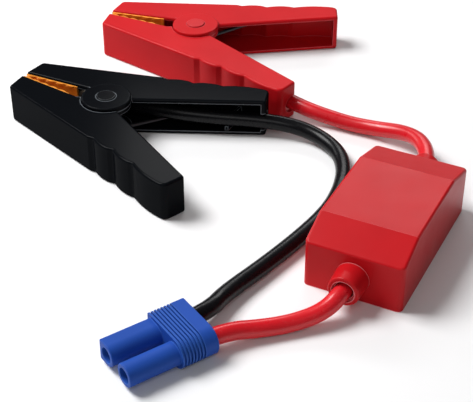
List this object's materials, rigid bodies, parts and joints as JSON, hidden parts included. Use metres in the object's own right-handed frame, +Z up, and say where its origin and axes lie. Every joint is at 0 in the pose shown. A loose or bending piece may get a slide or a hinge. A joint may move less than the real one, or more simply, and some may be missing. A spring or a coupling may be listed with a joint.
{
  "type": "jumper clamp lead set",
  "caption": "Jumper lead with red and black spring clamps, an inline diode module and a two-pole plug, for a portable engine starter.",
  "frame": {"origin": "on the surface the set lies on, under the middle of its rigid pieces' bounding box", "axes": "+Z up from the surface; +Y away from the plug towards the clamps; +X towards the module"},
  "size_m": [0.1757, 0.2376, 0.0232],
  "materials": {
    "black_plastic": "satin",
    "red_plastic": "satin",
    "blue_plastic": "matte",
    "copper": "bright",
    "rivet_steel": "blackened",
    "screw_steel": "plain",
    "spring_steel": "plain",
    "clip_steel": "plain",
    "tinned_copper": "tinned",
    "contact_brass": "gilt",
    "board_green": "solder resist",
    "diode_black": "moulded",
    "pad_grey": "soft",
    "spreader_aluminium": "plain",
    "black_silicone": "satin",
    "red_silicone": "gloss"
  },
  "bodies": {
    "base": {"base_screws": "screw_steel", "black_cable": "black_silicone", "black_cable_lug": "tinned_copper", "black_pivot_rivet": "rivet_steel", "black_rear_contact": "copper", "black_rear_contact_screws": "screw_steel", "black_rear_grip": "black_plastic", "black_rivet_clip": "clip_steel", "black_torsion_spring": "spring_steel", "board_screws": "screw_steel", "circuit_board": "board_green", "front_gland": "red_plastic", "heat_spreader": "spreader_aluminium", "input_terminal": "tinned_copper", "module_base": "red_plastic", "module_cover": "red_plastic", "negative_socket": "contact_brass", "output_terminal": "tinned_copper", "plug_housing": "blue_plastic", "positive_socket": "contact_brass", "power_diodes": "diode_black", "rear_gland": "red_plastic", "red_cable_lug": "tinned_copper", "red_clamp_cable": "red_silicone", "red_front_contact": "copper", "red_front_contact_screws": "screw_steel", "red_front_grip": "red_plastic", "red_pivot_rivet": "rivet_steel", "red_plug_cable": "red_silicone", "red_rivet_clip": "clip_steel", "red_torsion_spring": "spring_steel", "thermal_pad": "pad_grey"},
    "black_lever": {"black_front_grip": "black_plastic", "black_front_contact": "copper", "black_front_contact_screws": "screw_steel"},
    "red_lever": {"red_rear_grip": "red_plastic", "red_rear_contact": "copper", "red_rear_contact_screws": "screw_steel"}
  },
  "joints": [
    {"name": "black_clamp_pivot", "type": "hinge", "parent": "base", "child": "black_lever", "pos_m": [-0.0478, 0.0325, 0.008], "axis": [0, 0, 1], "range_deg": [0, 40], "stiffness_Nm_per_rad": 1, "springref_deg": -57.3, "deforming": ["black_torsion_spring"]},
    {"name": "red_clamp_pivot", "type": "hinge", "parent": "base", "child": "red_lever", "pos_m": [-0.0137, 0.0943, 0.008], "axis": [0, 0, -1], "range_deg": [0, 40], "stiffness_Nm_per_rad": 1, "springref_deg": -57.3, "deforming": ["red_torsion_spring"]}
  ]
}
